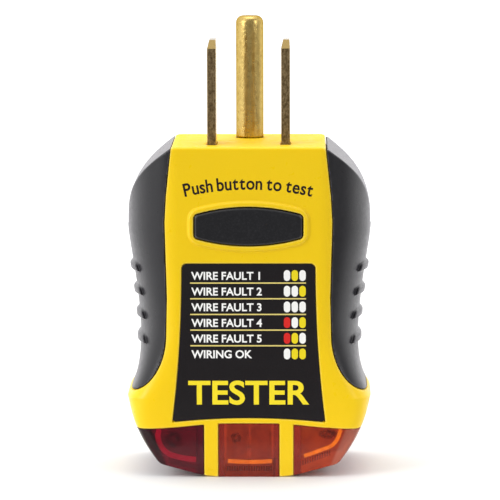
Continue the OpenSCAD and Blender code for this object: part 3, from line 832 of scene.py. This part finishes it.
def sheared_brass():
    """Blade: bright rolled faces; edges torn where it was stamped out, darkened with painted shade, and
    painted shade on the faces turned upward.
    """
    f = Finish("sheared_brass", (0.72, 0.5, 0.2), Metallic=1.0)
    f.mottle(0.9, 5.0, 0.45, 0.75, 0.6, (0.42, 0.28, 0.12), 0.7)
    # faces turned to ±Y are the sheared edges: their roughness and torn relief are real, their dark
    # colour is painted shade of the dark front they mirror
    sheared_and_shaded = f.ramp(f.math("ABSOLUTE", f.facing("Y")), 0.86, 0.97)
    torn = f.noise(0.35, 5.0, 0.75, f.stretched((1, 1, 0.55)))
    f.tint(sheared_and_shaded, (0.18, 0.125, 0.06))
    f.tint(f.times(sheared_and_shaded, f.ramp(torn, 0.46, 0.68)), (0.38, 0.28, 0.15))
    f.tint(f.times(sheared_and_shaded, f.ramp(torn, 0.46, 0.3)), (0.06, 0.036, 0.015))
    # painted shade on faces turned upward
    f.tint(f.ramp(f.facing("Z"), 0.2, 0.4), (0.24, 0.17, 0.065))
    f.set("Roughness", f.ramp(sheared_and_shaded, 0.0, 1.0, 0.24, 0.5))
    f.bump(f.times(torn, sheared_and_shaded), 0.05)
    return f.done()


def metal(name, color, roughness=0.3):
    f = Finish(name, color, Metallic=1.0)
    f.mottle(0.8, 4.0, 0.45, 0.75, 0.4, shade(color, 0.7))
    f.uneven(0.4, 4.0, roughness * 0.8, roughness * 1.4)
    f.bump(f.noise(0.25, 3.0), 0.004)
    return f.done()


def plain_moulding(name, color, roughness=0.45):
    f = Finish(name, color)
    f.mottle(2.5, 4.0, 0.4, 0.75, 0.3, shade(color, 0.82))
    f.tint(f.edges(), tuple(min(1, 1.3 * c + 0.02) for c in color))
    f.uneven(0.8, 4.0, roughness * 0.85, roughness * 1.2)
    f.bump(f.noise(0.2, 2.0), 0.006)
    return f.done()


def circuit_green():
    """Solder mask over copper tracks that show as lighter lanes."""
    f = Finish("circuit_green", (0.012, 0.12, 0.045), Roughness=0.3)
    lanes = f.cells(3.2, "DISTANCE_TO_EDGE", f.stretched((1, 0, 1)))
    tracks = f.ramp(lanes, 0.09, 0.07)
    f.tint(tracks, (0.03, 0.22, 0.07))
    f.mottle(0.4, 3.0, 0.5, 0.8, 0.3, (0.01, 0.08, 0.03))
    f.bump(tracks, 0.03)
    return f.done()


def resistor_lacquer(name, color, middle, half_length, bands, axis):
    """Lacquered body with colour bands across one axis, and tinned leads beyond it."""
    f = Finish(name, color, Roughness=0.35)
    place = f.math("DIVIDE", f.math("SUBTRACT", f.axis(axis), middle), half_length)
    for at, band in bands:
        away = f.math("ABSOLUTE", f.math("SUBTRACT", place, at))
        f.tint(f.ramp(away, 0.1, 0.08), band)
    lead = f.ramp(f.math("ABSOLUTE", place), 1.0, 1.02)
    f.tint(lead, (0.6, 0.58, 0.55))
    f.set("Metallic", lead)
    f.bump(f.noise(0.5, 3.0), 0.02)
    return f.done()


def lamp_glass():
    f = Finish("lamp_glass", (1.0, 0.93, 0.86), Roughness=0.03, IOR=1.5)
    f.mottle(1.5, 2.0, 0.4, 0.8, 0.3, (0.95, 0.8, 0.68))
    f.set("Transmission Weight", 0.95)
    f.bump(f.noise(1.2, 2.0), 0.01)
    return f.done()


# -------------------- pieces

YELLOW = yellow_plastic()
GRIP = soft_grip()
BUTTON = button_plastic()
LEGEND = legend_black()
# Windows: the deep colour gives random tone, the painted shade and the lamp's painted shadow; the side
# windows' last colour is a painted rim, painted shade on the red and painted reflection on the amber.
RED = window_plastic("red_window", (0.19, 0.004, 0.016), (0.07, 0.003, 0.01),
                     (9.0, 14.2), (-12.9, -50.5, 1.4, 1.4), (0.235, -56.9), (0.03, 0.003, 0.006))
AMBER = window_plastic("amber_window", (0.56, 0.062, 0.016), (0.28, 0.02, 0.014),
                       (9.0, 14.2), (13.6, -49.5, 1.5, 0.8), (0.37, -57.45), (0.6, 0.17, 0.11))
AMBER_CENTRE = window_plastic("amber_window_centre", (0.5, 0.05, 0.018), (0.24, 0.018, 0.012),
                              (0.0, 4.2), (-2.2, -50.2, 0.9, 0.9), (0.0, -55.0))
# painted highlights: glow for the ribs inside the windows
RED_GLOW_HIGHLIGHT = painted_glow_finish("red_painted_glow", (0.6, 0.005, 0.08), (0.75, 0.01, 0.14))
AMBER_GLOW_HIGHLIGHT = painted_glow_finish("amber_painted_glow", (1.0, 0.72, 0.02), (1.0, 0.9, 0.05))
PIN_BRASS = brass("pin_brass", (0.56, 0.405, 0.135), (0.32, 0.2, 0.05), 0.2, 2.2)
BLADE_BRASS = sheared_brass()
CONTACT_BRASS = brass("contact_brass", (0.8, 0.58, 0.26), (0.55, 0.36, 0.14), 0.3)
ZINC = metal("zinc_plate", (0.62, 0.63, 0.66))
SPRING_STEEL = metal("spring_steel", (0.55, 0.55, 0.57), 0.22)
LEAD_METAL = metal("tinned_wire", (0.66, 0.64, 0.6))


def housing():
    """The two shells, the grips and the windows."""
    x, z0, z1 = HIP + 0.2, FOOT_Z - 0.1, 0.1
    front = HALF_DEPTH + BEZEL_STAND + 0.1
    half = 13.6
    side_window = lens(RIB_OUTER, 99.0, 1.2)
    pieces = [
        ("front_cover", front_shell, (-x, -front, z0), (x, 1.0, z1), 0.22, YELLOW, "front_shell"),
        ("back_cover", rear_shell, (-x, -0.2, z0), (x, HALF_DEPTH, z1), 0.24, YELLOW, "rear_shell"),
        ("soft_grip_left", grip, (-x - 0.8, -half, -43.5), (-12.5, half, 0.1), 0.22, GRIP, "left_grip"),
        ("soft_grip_right", grip, (12.5, -half, -43.5), (x + 0.8, half, 0.1), 0.22, GRIP, "right_grip"),
        ("window_red", side_window, (-20.5, -half, z0), (-7.0, half, -45), 0.2, RED, "red_lens"),
        ("window_amber_centre", lens(-1.0, RIB_INNER, 1.4), (-5.6, -half, z0), (5.6, half, -45), 0.2,
         AMBER_CENTRE, "centre_amber_lens"),
        ("window_amber_right", side_window, (7.0, -half, z0), (20.5, half, -45), 0.2,
         AMBER, "right_amber_lens"),
    ]
    slots = {part["node"]: part["material_slot"] for part in frame["record"]["subparts"]}
    for name, field, lo, hi, step, material, node in pieces:
        stand_in(moulded(name, field, lo, hi, step, material), slots[node], node)


def edge_between(solid, near, far):
    """Distances along rays where they leave the plastic: near is inside it, far outside."""
    for _ in range(40):
        mid = (near + far) / 2
        inside = solid(mid) < 0
        near, far = np.where(inside, mid, near), np.where(inside, far, mid)
    return near


def painted_glow_ribs():
    """Rounded ribs moulded inside the windows' walls; their glow is a painted highlight for the lines
    of light in the windows.
    """
    paths = {
        "red_window_painted_glow": (RED_GLOW_HIGHLIGHT, 0.46, [
            (-15.5, -48.9), (-15.65, -50.2), (-15.15, -51.7), (-14.0, -52.9), (-12.5, -53.5),
            (-10.8, -53.85), (-9.1, -54.05)]),
        "amber_window_painted_glow": (AMBER_GLOW_HIGHLIGHT, 0.33, [
            (15.8, -48.9), (15.3, -50.3), (14.7, -51.2), (14.0, -51.75), (12.6, -52.3),
            (11.0, -52.9), (9.5, -53.4)]),
        "centre_window_painted_glow": (AMBER_GLOW_HIGHLIGHT, 0.36, [
            (-3.6, -54.3), (-1.5, -54.42), (0.3, -54.46), (2.2, -54.42), (4.0, -54.3)]),
    }
    for name, (material, radius, points) in paths.items():
        x, z = np.array(points).T
        face = edge_between(lambda y: envelope(x, y, z), 0 * x, 0 * x - HALF_DEPTH - 1)
        path = np.stack([x, face + GLOW_RIB_DEPTH + radius, z], axis=1)
        swept(name, smooth_path(path, 8), radius, material, 14)


def outline_points(field, centre, steps=240):
    """Points where rays from centre leave a front-view outline."""
    angles = circle(steps)
    ray = np.stack([np.cos(angles), np.sin(angles)], axis=1)

    def reached(t):
        return centre + ray * t[:, None]

    edge = edge_between(lambda t: field(*reached(t).T), np.zeros(steps), np.full(steps, 40.0))
    return reached(edge)


def button_form(x, y, z):
    """Cap with a rolled edge, flange behind the panel and stem."""
    face, back = button_lo[1], button_hi[1]
    outline = barrel(x, z)
    cap = cut(outline, np.maximum(face - y, y - FLANGE_Y), 0.42)
    flange = cut(outline - 1, np.abs(y - FLANGE_Y) - 0.5, 0.15)
    stem = cut(rod_field(x, z, 0, BUTTON_Z, 1.5), y - back, 0.12)
    return join(np.minimum(cap, flange), np.maximum(stem, FLANGE_Y - y), 0.35)


def button():
    lo = [v - 0.1 for v in button_lo]
    hi = [v + 0.1 for v in button_hi]
    piece = moulded("test_button_cap", button_form, lo, hi, 0.16, BUTTON, "button")
    stand_in(piece, "button", "test_button")


def legend_plate():
    """Plate with its outline drawn in evenly at the chamfer round its face."""
    front, back, chamfer = label_lo[1], label_hi[1], 0.06
    centre = np.array((0.0, (LABEL_TOP + LABEL_BOTTOM) / 2))
    base = outline_points(legend, centre)
    flat = np.roll(base, -1, axis=0) - np.roll(base, 1, axis=0)
    normal = np.stack([-flat[:, 1], flat[:, 0]], axis=1)
    normal /= np.linalg.norm(normal, axis=1)[:, None]
    normal *= np.sign((normal * (centre - base)).sum(1))[:, None]
    rings = [np.insert(base + normal * inset, 1, y, axis=1)
             for y, inset in ((back, 0.0), (front + chamfer, 0.0), (front, chamfer))]
    stand_in(loft("legend_plate", rings, LEGEND, smooth=False), "legend", "legend_label")


def blades():
    """Stamped blades: ears inside the carrier, chamfered tip."""
    ear, ear_foot, ear_top = 0.8, -5.9, -3.5
    for node, name in (("line_blade", "line_prong"), ("neutral_blade", "neutral_prong")):
        lo, hi = box_mm(node)
        cx, cy, _ = centre_mm(node)
        half_t = (hi[0] - lo[0]) / 2
        half_w = (hi[1] - lo[1]) / 2 - ear
        top, bottom = hi[2], lo[2]
        outline = [
            (bottom, half_t, half_w - 1), (ear_foot, half_t, half_w - 1),
            (ear_foot, half_t, half_w + ear), (ear_top, half_t, half_w + ear),
            (ear_top, half_t, half_w), (top - 1.5, half_t, half_w),
            (top, half_t - 0.36, half_w - 1.35),
        ]
        rings = []
        for z, t, w in outline:
            right = cx + half_t - 0.25 * (half_t - t)
            rings.append([(cx - t, cy - w, z), (right, cy - w, z),
                          (right, cy + w, z), (cx - t, cy + w, z)])
        piece = loft(name, rings, BLADE_BRASS, smooth=False)
        soften(piece, 0.07)
        stand_in(piece, "blade", node)


def ground_pin():
    """Round pin: tail for its wire, collar inside the carrier, domed tip."""
    neck, collar, tail, tip = PIN_R - 0.2, PIN_R + PIN_COLLAR, 1.4, 1.25
    tail_top, collar_foot, collar_top, face = -8.0, -5.0, -3.5, -0.02
    top, bottom = pin_hi[2], pin_lo[2]
    profile = [(0.01, bottom), (tail - 0.1, bottom), (tail, bottom + 0.1), (tail, tail_top),
               (neck, tail_top), (neck, collar_foot), (collar, collar_foot), (collar, collar_top),
               (neck, collar_top), (neck, face), (PIN_R, face)]
    profile += [(PIN_R, z) for z in np.linspace(0.4, top - tip, 12)]
    profile += [
        (PIN_R - tip + tip * math.cos(a), top - tip + tip * math.sin(a))
        for a in np.radians((15, 30, 45, 60, 72, 82, 90))
    ]
    profile += [(0.5, top), (0.01, top)]
    rings = [[(r * math.cos(a), PIN_Y + r * math.sin(a), z) for a in circle(72)] for r, z in profile]
    stand_in(loft("earth_pin", rings, PIN_BRASS), "pin", "ground_pin")


def screws():
    room = 2.6
    for i, (cx, cz) in enumerate(SCREWS):
        lo = (cx - room, -9.0, cz - room)
        hi = (cx + room, 11.4, cz + room)
        points, quads, normals = field_surface(screw(cx, cz), lo, hi, 0.13)
        piece = new_piece(f"case_screw_{i + 1}", points, quads.tolist(), ZINC, normals=normals)
        if i == 0:
            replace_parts(piece, "case_screws")


def spring():
    """Compression coil between the button's flange and the guide."""
    lo, hi = box_mm("return_spring")
    wire, turns = 0.2, 4
    coil = (hi[0] - lo[0]) / 2 - wire
    t = np.linspace(0, 1, turns * 28)
    rise = np.interp(t, (0, 0.12, 0.88, 1), (0, 0.06, 0.94, 1))
    a = 2 * math.pi * turns * t
    y0, y1 = lo[1] + wire, hi[1] - wire
    path = np.stack([coil * np.cos(a), y0 + (y1 - y0) * rise, BUTTON_Z + coil * np.sin(a)], axis=1)
    piece = swept("coil_spring", path, wire, SPRING_STEEL, 12)
    stand_in(piece, "spring", "return_spring")
    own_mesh(piece)


def text_mesh(text, height, weight, place=(0, 0, 0)):
    """Letters of raised ink on the front: points and faces, with the base line at place."""
    cap_share = 0.72
    curve = bpy.data.curves.new("letters", "FONT")
    curve.body = text
    curve.size = height / cap_share
    curve.extrude = 0.01
    curve.offset = weight
    curve.resolution_u = 6
    obj = add_object("letters", curve)
    mesh = evaluated_mesh(obj)
    bpy.data.objects.remove(obj)
    x, up, out = np.array([v.co for v in mesh.vertices]).T
    faces = [tuple(p.vertices) for p in mesh.polygons]
    bpy.data.meshes.remove(mesh)
    return np.stack([x + place[0], place[1] - out, up + place[2]], axis=1), faces


def slab(ring, y):
    """Film of ink on the front, with a (x, z) ring for its outline: points and faces."""
    m = len(ring)
    points = [(x, y - 0.02, z) for x, z in ring] + [(x, y + 0.01, z) for x, z in ring]
    faces = [tuple(range(m)), tuple(range(m, 2 * m))[::-1]]
    faces += [(j, j + m, (j + 1) % m + m, (j + 1) % m) for j in range(m)]
    return np.array(points), faces


def pill(cx, cz, w, h, y):
    """Round-ended mark standing upright."""
    r = w / 2
    a = np.linspace(0, math.pi, 10)
    upper = np.stack([cx + r * np.cos(a), cz + h / 2 - r + r * np.sin(a)], axis=1)
    lower = np.stack([cx - r * np.cos(a), cz - h / 2 + r - r * np.sin(a)], axis=1)
    return slab(np.vstack([upper, lower]), y)


def bar(x0, x1, z, thick, y):
    """Level rule."""
    low, high = z - thick / 2, z + thick / 2
    return slab([(x0, low), (x1, low), (x1, high), (x0, high)], y)


def printed(name, parts, ink_name, color):
    """One piece of ink from many (points, faces) groups."""
    points, faces, start = [], [], 0
    for p, f in parts:
        points.append(p)
        faces += [tuple(i + start for i in face) for face in f]
        start += len(p)
    piece = new_piece(name, np.vstack(points), faces, ink(ink_name, color), smooth=False)


def legend_print():
    """Generic fault table: six rows of words, three lamp marks each, thin rules between."""
    rows = [("WIRE FAULT 1", "WYW"), ("WIRE FAULT 2", "WWY"), ("WIRE FAULT 3", "WWW"),
            ("WIRE FAULT 4", "RWY"), ("WIRE FAULT 5", "RYW"), ("WIRING OK", "WYY")]
    y = label_lo[1]
    words, rules, marks = [], [], {"W": [], "Y": [], "R": []}
    for i, (text, lamps) in enumerate(rows):
        z = ROW_TOP - i * ROW_PITCH
        words.append(text_mesh(text, 1.36, 0.045, (-9.75, y, z - 0.68)))
        for j, lamp in enumerate(lamps):
            marks[lamp].append(pill(6.6 + j * 1.33, z + 0.02, 1.1, 1.88, y))
        if i:
            rules.append(bar(-10.0, 9.85, z + ROW_PITCH / 2 + 0.08, 0.22, y))
    printed("legend_words", words, "white_ink", (0.95, 0.95, 0.93))
    printed("legend_marks_white", marks["W"], "mark_white", (0.95, 0.95, 0.92))
    printed("legend_marks_yellow", marks["Y"], "mark_yellow", (0.87, 0.7, 0.01))
    printed("legend_marks_red", marks["R"], "mark_red", (0.72, 0.018, 0.014))
    printed("legend_rules", rules, "rule_cream", (0.8, 0.66, 0.2))
    title_width = 20.8
    points, faces = text_mesh("TESTER", 4.1, 0.12, (-9.6, y, -44.25))
    x = points[:, 0]
    lo, width = x.min(), x.max() - x.min()
    points[:, 0] = (x - lo - width / 2) * title_width / width
    printed("legend_title", [(points, faces)], "title_yellow", (0.93, 0.75, 0.02))


def arc_print():
    """Words curved over the button, from letters set one by one along an arc."""
    radius, total, crown_z = 48.0, 22.0, -7.2
    word_space, letter_gap = 0.62, 0.17
    glyphs = []
    for letter in "Push button to test":
        if letter == " ":
            glyphs.append((None, None, word_space))
            continue
        points, faces = text_mesh(letter, 2.25, 0.06)
        points[:, 0] -= points[:, 0].min()
        glyphs.append((points, faces, points[:, 0].max() + letter_gap))
    scale = total / sum(width for _, _, width in glyphs)
    at = -total / 2
    parts = []
    for points, faces, width in glyphs:
        if faces:
            angle = (at + width * scale / 2) / radius
            x = (points[:, 0] - points[:, 0].max() / 2) * scale
            r = radius + points[:, 2]
            parts.append((np.stack([
                r * math.sin(angle) + x * math.cos(angle),
                points[:, 1] - HALF_DEPTH,
                crown_z - radius + r * math.cos(angle) - x * math.sin(angle),
            ], axis=1), faces))
        at += width * scale
    printed("button_words", parts, "dark_ink", (0.012, 0.004, 0.004))


def wires():
    """Insulated wires from the prongs' tails to the board."""
    x, y, _ = centre_mm("line_blade")
    z = box_mm("line_blade")[0][2] - 0.55
    front, back = board_lo[1] - 0.05, board_hi[1] + 0.05
    side = [(x, y, z), (x + 1.6, y + 0.2, z), (10.1, -4.1, z), (11.0, -3.0, -11.95),
            (11.5, -1.8, -13.4), (11.6, -0.6, -14.4), (11.6, front, -14.4)]
    middle = [(0, PIN_Y, -10.55), (0, PIN_Y, -11.7), (0.9, PIN_Y - 0.6, -13.3),
              (2.2, PIN_Y - 1.6, -14.5), (3, back + 1.55, -15.4), (3.2, back + 0.75, -15.6),
              (3.2, back, -15.6)]
    runs = {
        "line_wire": (side, (0.02, 0.02, 0.022)),
        "neutral_wire": ([(-px, py, pz) for px, py, pz in side], (0.8, 0.8, 0.77)),
        "ground_wire": (middle, (0.02, 0.25, 0.07)),
    }
    for node, (points, color) in runs.items():
        skin = plain_moulding(node + "_pvc", color, 0.35)
        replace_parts(swept(node + "_lead", smooth_path(points), 0.48, skin), node)


def cad_finishes():
    """Materials for the CAD nodes that stay in view."""
    brown, black, gold = (0.12, 0.03, 0.01), (0.01, 0.01, 0.01), (0.6, 0.4, 0.08)
    red, yellow = (0.5, 0.02, 0.02), (0.8, 0.6, 0.03)
    finishes = {
        "blade_carrier": plain_moulding("carrier_moulding", (0.72, 0.68, 0.56), 0.5),
        "circuit_board": circuit_green(),
        "switch_guide": plain_moulding("guide_moulding", (0.03, 0.03, 0.035), 0.5),
        "fixed_contacts": CONTACT_BRASS,
        "contact_bridge": CONTACT_BRASS,
    }
    glass = lamp_glass()
    for side in ("left", "centre", "right"):
        finishes[f"{side}_lamp_glass"] = glass
        finishes[f"{side}_lamp_leads"] = LEAD_METAL
        node = f"{side}_ballast_resistor"
        finishes[node] = resistor_lacquer(
            f"{side}_resistor_lacquer", (0.62, 0.45, 0.25), centre_mm(node)[2], 3.2,
            [(-0.62, brown), (-0.3, black), (0.02, yellow), (0.6, gold)], "Z")
    finishes["test_resistor"] = resistor_lacquer(
        "test_resistor_lacquer", (0.16, 0.3, 0.4), 0.0, 5.0,
        [(-0.55, brown), (-0.3, yellow), (-0.05, red), (0.55, gold)], "X")
    for node, material in finishes.items():
        mesh = frame["nodes"][node].data
        mesh.materials.clear()
        mesh.materials.append(material)


# -------------------- stage, light and camera

AIM = (0, 0, -0.02)


def stage():
    """Pale oval table whose front edge is too near to be mirrored in the windows."""
    half_wide, front, back, sides = 0.2, -0.046, 0.24, 96
    rim = [
        (half_wide * math.cos(a), (front + back + (back - front) * math.sin(a)) / 2, cad_bounds[0].z)
        for a in circle(sides)
    ]
    mesh = bpy.data.meshes.new("floor")
    mesh.from_pydata(rim, [], [tuple(range(sides))])
    finish = Finish("floor_white", (0.86, 0.86, 0.86), Roughness=0.8)
    finish.mottle(60.0, 2.0, 0.3, 0.7, 0.1, (0.82, 0.82, 0.82))
    mesh.materials.append(finish.done())
    add_object("floor", mesh)


def area_light(name, place, size, power):
    """Soft box that faces the object."""
    light = bpy.data.lights.new(name, "AREA")
    light.shape = "RECTANGLE"
    light.size, light.size_y = size
    light.energy = power
    obj = add_object(name, light)
    obj.location = place
    obj.rotation_euler = (Vector(AIM) - Vector(place)).to_track_quat("-Z", "Y").to_euler()


def lights():
    """White surroundings that fall off behind the camera, and soft boxes left, right and above."""
    world = bpy.data.worlds.new("studio")
    bpy.context.scene.world = world
    world.use_nodes = True
    graph = Graph(world.node_tree)
    toward = graph.node("TexCoord").outputs["Generated"]
    back = graph.math("MULTIPLY_ADD", graph.part(toward, "X"), -0.42, graph.part(toward, "Y"))
    glow = graph.ramp(back, -0.8, 0.1, 0.45, 1.45, interpolation_type="SMOOTHSTEP")
    in_view = graph.node("LightPath").outputs["Is Camera Ray"]
    background = graph.nodes["Background"]
    graph.feed(background.inputs["Color"], (1, 1, 1, 1))
    graph.feed(background.inputs["Strength"], graph.math("MAXIMUM", glow, in_view))
    area_light("key_left", (-0.75, -0.55, 0.35), (0.35, 0.55), 3.3)
    area_light("key_right", (0.75, -0.55, 0.35), (0.35, 0.55), 1.9)
    area_light("top", (0.0, 0.1, 0.9), (0.7, 0.5), 2.4)


def camera():
    """Long lens at the photograph's angle, a little to the right and above."""
    distance, height, turn = 0.650, 0.05753, math.radians(0.84)
    data = bpy.data.cameras.new("camera")
    data.sensor_width = 36.0
    data.lens = 269.8
    data.shift_x = 0.0009
    data.clip_start, data.clip_end = 0.05, 20
    obj = add_object("camera", data)
    obj.location = (distance * math.sin(turn), -distance * math.cos(turn), height)
    aim = Vector((0, 0, -0.01922))
    obj.rotation_euler = (aim - obj.location).to_track_quat("-Z", "Y").to_euler()
    obj.rotation_euler.rotate_axis("Z", -0.002)
    bpy.context.scene.camera = obj


housing()
painted_glow_ribs()
button()
legend_plate()
legend_print()
arc_print()
blades()
ground_pin()
screws()
spring()
wires()
cad_finishes()
stage()
lights()
camera()
bpy.context.scene.view_settings.view_transform = "Standard"
